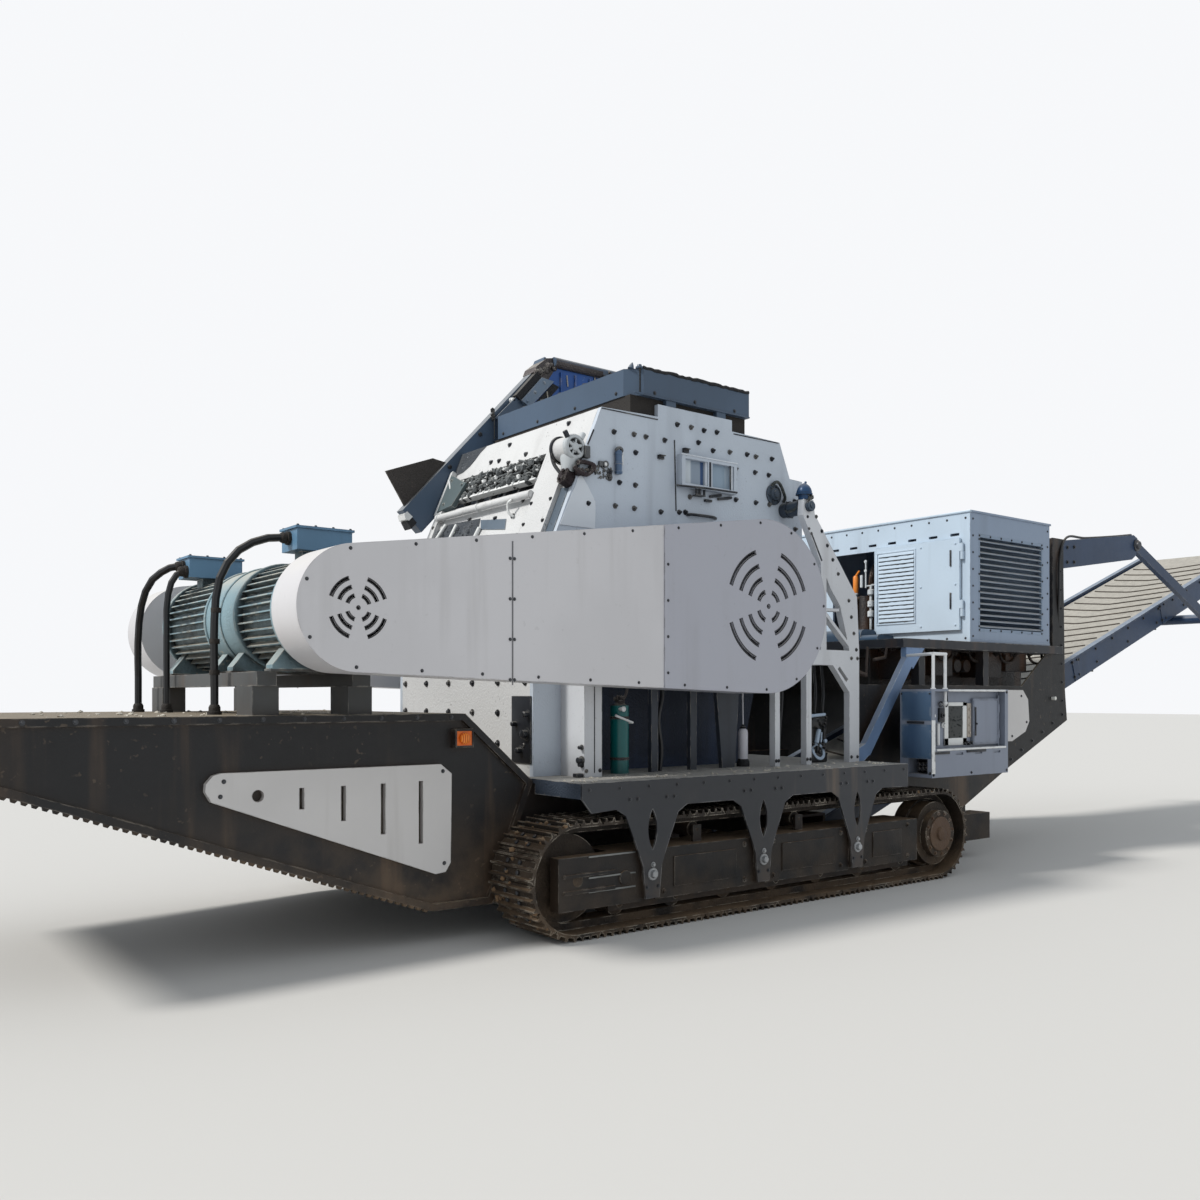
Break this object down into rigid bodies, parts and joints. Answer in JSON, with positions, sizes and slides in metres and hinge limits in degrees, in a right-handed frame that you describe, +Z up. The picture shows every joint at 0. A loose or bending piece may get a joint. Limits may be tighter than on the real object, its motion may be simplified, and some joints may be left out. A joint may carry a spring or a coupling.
{
  "type": "crawler-tracked mobile crushing plant",
  "caption": "Crawler-tracked mobile crushing plant: boxed crusher with belt guards, motors on a wedge-shaped tail, engine house, control cabinet and discharge conveyor.",
  "frame": {"origin": "centre of the machine's bounding box, on the ground under the crawler tracks", "axes": "+X along the machine towards the discharge conveyor's head, +Y across it to the side away from the control cabinet, +Z up"},
  "size_m": [16.6, 3.4, 4.768],
  "materials": {
    "guard_paint": "semi-gloss",
    "crusher_paint": "semi-gloss",
    "house_paint": "semi-gloss",
    "chassis_paint": "satin",
    "skirt_paint": "satin",
    "frame_paint": "semi-gloss",
    "column_paint": "semi-gloss",
    "track_steel": "worn",
    "deck_plate": "dusty",
    "panel_paint": "semi-gloss",
    "motor_paint": "satin",
    "lamp_orange": "gloss",
    "belt_rubber": "dusty",
    "cable_rubber": "satin",
    "machinery_steel": "oily",
    "gas_paint": "semi-gloss",
    "rail_paint": "semi-gloss"
  },
  "bodies": {
    "machine": {"track_right": "track_steel", "track_left": "track_steel", "track_frames": "chassis_paint", "idler_wheels": "track_steel", "drive_sprockets": "track_steel", "track_rollers": "track_steel", "side_skirts": "skirt_paint", "deck": "deck_plate", "chassis_beams": "chassis_paint", "cross_members": "chassis_paint", "tail_plates": "chassis_paint", "side_panels": "panel_paint", "tail_deck": "chassis_paint", "marker_lamps": "lamp_orange", "nose_plates": "chassis_paint", "rear_bumper": "chassis_paint", "conveyor_arms": "frame_paint", "conveyor_hanger": "frame_paint", "conveyor_frame": "frame_paint", "conveyor_belt": "belt_rubber", "conveyor_drums": "track_steel", "motor_right": "motor_paint", "motor_left": "motor_paint", "junction_boxes": "motor_paint", "motor_base": "chassis_paint", "motor_cables": "cable_rubber", "belt_guard_right": "guard_paint", "belt_guard_left": "guard_paint", "crusher_sides": "crusher_paint", "crusher_front": "crusher_paint", "crusher_rear": "crusher_paint", "jaw_plates": "machinery_steel", "discharge_chute": "machinery_steel", "crusher_roof": "crusher_paint", "feed_curtain": "belt_rubber", "front_posts": "crusher_paint", "front_linkage": "machinery_steel", "hinge_bosses": "frame_paint", "top_collar": "frame_paint", "inlet_hood": "frame_paint", "feed_flap": "machinery_steel", "support_frames": "column_paint", "deck_columns": "column_paint", "gas_cylinders": "gas_paint", "engine_house": "house_paint", "radiator_grille": "house_paint", "engine_block": "machinery_steel", "engine_platform": "chassis_paint", "pump_set": "machinery_steel", "fuel_tank": "frame_paint", "platform_braces": "column_paint", "control_cabinet": "house_paint", "handrail": "rail_paint"},
    "engine_door": {"engine_door": "house_paint"},
    "cabinet_door": {"cabinet_door": "house_paint"}
  },
  "joints": [
    {"name": "engine_door_hinge", "type": "hinge", "parent": "machine", "child": "engine_door", "pos_m": [0.64, -1.125, 2.7], "axis": [0, 0, 1], "range_deg": [0, 100]},
    {"name": "cabinet_door_hinge", "type": "hinge", "parent": "machine", "child": "cabinet_door", "pos_m": [0.431, -1.648, 1.37], "axis": [0, 0, 1], "range_deg": [0, 95]}
  ]
}
